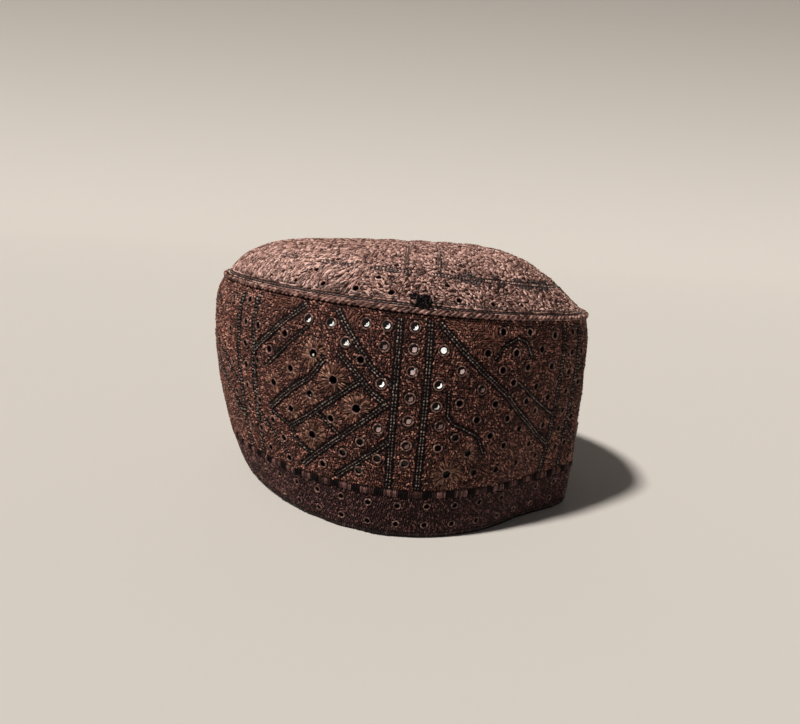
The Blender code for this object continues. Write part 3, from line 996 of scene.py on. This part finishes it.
def make_rim_binding(material):
    """Overcast stitches along the rim."""
    work = Threadwork(WALL)
    spots = chart(turns_round(RIM_STITCHES) - 180, RIM_STITCH_LEVEL / SEAM_HEIGHT)
    leaning = facing(RIM_STITCH_ANGLE + random.normal(0, RIM_STITCH.lean, RIM_STITCHES))
    work.add(spots, leaning, *drawn(RIM_STITCH, RIM_STITCHES))
    work.make("rim_binding", material, keep_above=RIM_FOOT)


def seam_path(turn):
    """Middle line of the rope, a little further in than the frame's cord."""
    reach = CORD_RADIUS + PIECE_GAP - ROPE_INSET
    path = place(turn, plan_radius(SEAM, turn) - SEAM_TUCK + reach, 1.0)
    path[:, 2] += PIECE_GAP
    return path


def make_rope(material):
    """Rope of two twisted strands on the seam."""
    turn = turns_round(ROPE_SAMPLES)
    path = seam_path(turn)
    ahead = unit(np.roll(path, -1, 0) - np.roll(path, 1, 0))
    outward = unit(np.cross(ahead, np.array([0.0, 0.0, 1.0])))
    upward = np.cross(outward, ahead)
    along = np.stack([turn, 0 * turn], -1)
    slip = ROPE_SLIP * noise_wave(along, ROPE_UNEVEN)
    points = []
    for strand, wave in enumerate(STRANDS_UNEVEN):
        phase = 2 * math.pi * (strand / ROPE_STRANDS + ROPE_TWISTS * turn / 360) + slip
        centre = path + (ROPE_FLAT * np.cos(phase)[:, None] * outward
                         + ROPE_TALL * np.sin(phase)[:, None] * upward)
        radius = STRAND_RADIUS * (1 + STRAND_SWELL * noise_wave(along, wave))
        for side in range(ROPE_SIDES):
            angle = phase + 2 * math.pi * side / ROPE_SIDES
            points.append(centre + radius[:, None] * (np.cos(angle)[:, None] * outward
                                                      + np.sin(angle)[:, None] * upward))
    index = np.arange(len(points) * ROPE_SAMPLES).reshape(ROPE_STRANDS, ROPE_SIDES, ROPE_SAMPLES)
    after = np.roll(index, -1, 1)
    quads = np.stack([index, np.roll(index, -1, 2), np.roll(after, -1, 2), after], -1).reshape(-1, 4)
    piece = mesh_object("seam_rope", np.concatenate(points), (quads,), material)
    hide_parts("seam_cord")


def make_seam_lines(material, dark):
    """Rows of running stitch on the crown beside the seam, pale and dark by turns."""
    pale, deep = Threadwork(CROWN), Threadwork(CROWN)
    for row in SEAM_ROWS:
        turn = turns_round(SEAM_ROW_STITCHES, random.uniform(0, 1))
        angle = np.radians(turn - 90)
        spots = (plan_radius(SEAM, turn) - SEAM_TUCK - row.inset)[:, None] * facing(angle)
        along = facing(angle + math.pi / 2 + random.normal(0, SEAM_STITCH.lean, len(spots)))
        work = deep if row.dark else pale
        stitch = SEAM_STITCH._replace(width=row.width, rise=row.rise)
        work.add(spots, along, *drawn(stitch, len(spots)))
    pale.make("seam_stitch_rows", material)
    deep.make("seam_dark_stitches", dark)


def make_knot(material):
    """Tuft of black thread on the crown's edge at the front."""
    work = Threadwork(CROWN)
    middle = crown_spots(np.array([KNOT_TURN]), KNOT_REACH)
    spots = middle + random.normal(0, 1, (KNOT_STITCHES, 2)) * KNOT_SPREAD
    work.add(spots, facing(random.uniform(0, math.pi, KNOT_STITCHES)),
             *drawn(KNOT_STITCH, KNOT_STITCHES), lift=random.uniform(0, KNOT_LIFT, KNOT_STITCHES))
    work.make("seam_knot", material, "cord")


# Materials

def new_material(name, roughness, specular):
    """Material with its node tree and its shader."""
    material = bpy.data.materials.new(name)
    material.use_nodes = True
    shader = material.node_tree.nodes["Principled BSDF"]
    shader.inputs["Roughness"].default_value = roughness
    shader.inputs["Specular IOR Level"].default_value = specular
    return material, material.node_tree, shader


def add_texture(tree, kind, scale, detail=None):
    """Texture that is fixed to the object, in metres."""
    where = tree.nodes.new("ShaderNodeTexCoord")
    texture = tree.nodes.new(kind)
    texture.inputs["Scale"].default_value = scale
    if detail is not None:
        texture.inputs["Detail"].default_value = detail
    tree.links.new(where.outputs["Object"], texture.inputs["Vector"])
    return texture


def add_ramp(tree, value, tones, shader):
    """Ramp from a value to the shader's colour, through tones of (position, colour)."""
    ramp = tree.nodes.new("ShaderNodeValToRGB")
    stops = ramp.color_ramp.elements
    while len(stops) < len(tones):
        stops.new(0.5)
    for stop, (position, colour) in zip(stops, tones):
        stop.position = position
        stop.color = (*colour, 1)
    tree.links.new(value, ramp.inputs["Fac"])
    tree.links.new(ramp.outputs["Color"], shader.inputs["Base Color"])


def add_bump(tree, height, shader, strength, distance):
    bump = tree.nodes.new("ShaderNodeBump")
    bump.inputs["Strength"].default_value = strength
    bump.inputs["Distance"].default_value = distance
    tree.links.new(height, bump.inputs["Height"])
    tree.links.new(bump.outputs["Normal"], shader.inputs["Normal"])


def thread(name):
    """Silk thread whose tone differs from stitch to stitch and in broad patches; its palest stitches are
    partly painted highlights.
    """
    silk = SILKS[name]
    material, tree, shader = new_material(name, roughness=0.34, specular=silk.specular)
    shader.inputs["Specular Tint"].default_value = (1.0, 0.74, 0.66, 1)
    island = tree.nodes.new("ShaderNodeNewGeometry")
    broad = add_texture(tree, "ShaderNodeTexNoise", scale=silk.patch_scale, detail=3)
    mix = tree.nodes.new("ShaderNodeMix")
    mix.data_type = "FLOAT"
    mix.inputs["Factor"].default_value = silk.patch
    tree.links.new(island.outputs["Random Per Island"], mix.inputs["A"])
    tree.links.new(broad.outputs["Fac"], mix.inputs["B"])
    add_ramp(tree, mix.outputs["Result"], silk.tones, shader)
    fibre = add_texture(tree, "ShaderNodeTexNoise", scale=2600, detail=2)
    add_bump(tree, fibre.outputs["Fac"], shader, strength=0.35, distance=0.2 * MM)
    return material


def woven(name, dark, light):
    """Close weave of the ground cloth."""
    material, tree, shader = new_material(name, roughness=0.9, specular=0.1)
    grain = add_texture(tree, "ShaderNodeTexVoronoi", scale=1800)
    add_ramp(tree, grain.outputs["Distance"], ((0, light), (1, dark)), shader)
    add_bump(tree, grain.outputs["Distance"], shader, strength=0.6, distance=0.3 * MM)
    return material


def mirror_glass(name, colour, metallic, roughness):
    """Hand-cut mirror disc, cloudy in spots."""
    material, tree, shader = new_material(name, roughness, specular=0.5)
    shader.inputs["Metallic"].default_value = metallic
    cloud = add_texture(tree, "ShaderNodeTexNoise", scale=900)
    cloudy = [0.6 * value for value in colour]
    add_ramp(tree, cloud.outputs["Fac"], ((0.3, cloudy), (0.55, colour)), shader)
    return material


def dress_mirrors():
    bright = mirror_glass("mirror_bright", (1.0, 0.98, 0.93), metallic=0.8, roughness=0.1)
    # Rosy and dim are darker copies of the one mirror glass: painted reflections of pink and of dark
    # surroundings
    shines = {
        "bright": bright,
        "lapped": bright,
        "sliver": bright,
        "rosy": mirror_glass("mirror_rosy_painted_reflection", (0.62, 0.44, 0.41), metallic=0.6, roughness=0.2),
        "dim": mirror_glass("mirror_dim_painted_reflection", (0.26, 0.16, 0.145), metallic=0.6, roughness=0.25),
    }
    for number, mirror in enumerate(MIRRORS, start=1):
        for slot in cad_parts[f"mirror_{number:02d}"].material_slots:
            slot.material = shines[mirror.shine]


# The studio

def add_light(name, kind, energy):
    light = bpy.data.objects.new(name, bpy.data.lights.new(name, kind))
    light.data.energy = energy
    bpy.context.scene.collection.objects.link(light)
    return light


def add_sun():
    light = add_light("key", "SUN", SUN_STRENGTH)
    light.data.angle = math.radians(SUN_SOFTNESS)
    light.data.color = SUN_COLOUR
    light.rotation_euler = Vector(SUN_TOWARDS).to_track_quat("Z", "Y").to_euler()


def add_strip_light():
    """Strip in front of the cap and to its left, seen by glossy rays only: the mirrors reflect it."""
    light = add_light("strip", "AREA", math.pi * STRIP_WIDTH * STRIP_HEIGHT * STRIP_RADIANCE)
    light.data.shape = "RECTANGLE"
    light.data.size = STRIP_WIDTH
    light.data.size_y = STRIP_HEIGHT
    light.location = STRIP_PLACE
    light.rotation_euler = (math.radians(90), 0, 0)
    light.visible_camera = False
    light.visible_diffuse = False


def make_camera():
    data = bpy.data.cameras.new("camera")
    data.sensor_width = SENSOR_WIDTH
    data.lens = FOCAL_PIXELS / PHOTO_WIDTH * SENSOR_WIDTH
    data.shift_x = (PHOTO_WIDTH / 2 - TARGET_PIXEL_X) / PHOTO_WIDTH
    data.shift_y = (TARGET_PIXEL_Y - PHOTO_HEIGHT / 2) / PHOTO_WIDTH
    data.clip_start = CLIP_START
    camera = bpy.data.objects.new("camera", data)
    lift = math.radians(CAMERA_ELEVATION)
    back = Vector((0, -math.cos(lift), math.sin(lift)))
    camera.location = Vector((-MIDDLE_X, -MIDDLE_Y, TARGET_HEIGHT)) + back * CAMERA_DISTANCE
    look = back.to_track_quat("Z", "Y").to_matrix().to_4x4()
    camera.rotation_euler = (look @ Matrix.Rotation(math.radians(CAMERA_ROLL), 4, "Z")).to_euler()
    bpy.context.scene.collection.objects.link(camera)
    bpy.context.scene.camera = camera


def make_backdrop():
    """Pale floor that sweeps up behind the cap."""
    profile = [(FLOOR_FRONT, 0.0), (FLOOR_BACK, 0.0)]
    for step in range(1, SWEEP_STEPS + 1):
        angle = math.radians(90 * step / SWEEP_STEPS)
        profile.append((FLOOR_BACK + SWEEP_RADIUS * math.sin(angle), SWEEP_RADIUS * (1 - math.cos(angle))))
    profile.append((FLOOR_BACK + SWEEP_RADIUS, BACKDROP_HEIGHT))
    points = [(side * FLOOR_HALF_WIDTH, y, z) for y, z in profile for side in (-1, 1)]
    faces = [(2 * i, 2 * i + 1, 2 * i + 3, 2 * i + 2) for i in range(len(profile) - 1)]
    mesh = bpy.data.meshes.new("backdrop")
    mesh.from_pydata(points, [], faces)
    mesh.polygons.foreach_set("use_smooth", [True] * len(faces))
    backdrop = bpy.data.objects.new("backdrop", mesh)
    bpy.context.scene.collection.objects.link(backdrop)
    material, _, shader = new_material("backdrop", roughness=0.8, specular=0.0)
    shader.inputs["Base Color"].default_value = FLOOR_COLOUR
    mesh.materials.append(material)


def make_studio():
    scene = bpy.context.scene
    scene.view_settings.view_transform = "Standard"
    world = bpy.data.worlds.new("studio")
    world.use_nodes = True
    world.node_tree.nodes["Background"].inputs["Color"].default_value = WORLD_COLOUR
    world.node_tree.nodes["Background"].inputs["Strength"].default_value = WORLD_STRENGTH
    scene.world = world
    add_sun()
    add_strip_light()


def make_wall(black):
    make_wall_cloth(woven("wall_ground", (0.005, 0.002, 0.002), (0.022, 0.009, 0.007)))
    fill_wall(thread("wall_thread"), thread("satin_thread"), thread("hem_thread"))
    eyelet_rings("wall_eyelet_rings", WALL, WALL_RING_STITCH, thread("ring_thread"), keep_above=RIM_FOOT)
    make_rosettes(thread("rosette_thread"))
    couched, beads = stitched_lines(WALL)
    # The black stitches that paint the shadow over the mirrors go with the couched lines
    mirror_shadow_stitches(couched)
    couched.make("wall_couched_lines", black)
    beads.make("wall_line_beads", thread("bead_thread"))
    make_squares(black, thread("square_thread"))
    make_rim_binding(thread("rim_thread"))


def make_crown(black):
    # The crown's thread and ground cloth are lighter than the wall's: painted light from above
    brown, grey = thread("crown_thread"), thread("crown_line_thread")
    make_crown_cloth(woven("crown_ground", (0.010, 0.004, 0.003), (0.04, 0.018, 0.014)))
    fill_crown(brown, grey)
    eyelet_rings("crown_eyelet_rings", CROWN, CROWN_RING_STITCH, brown)
    couched, beads = stitched_lines(CROWN)
    couched.make("crown_couched_lines", grey)
    beads.make("crown_line_beads", brown)
    make_seam_lines(brown, grey)
    make_knot(black)
    make_rope(thread("rope_thread"))


make_camera()
make_studio()
make_backdrop()
black_silk = thread("black_thread")
make_wall(black_silk)
make_crown(black_silk)
dress_mirrors()
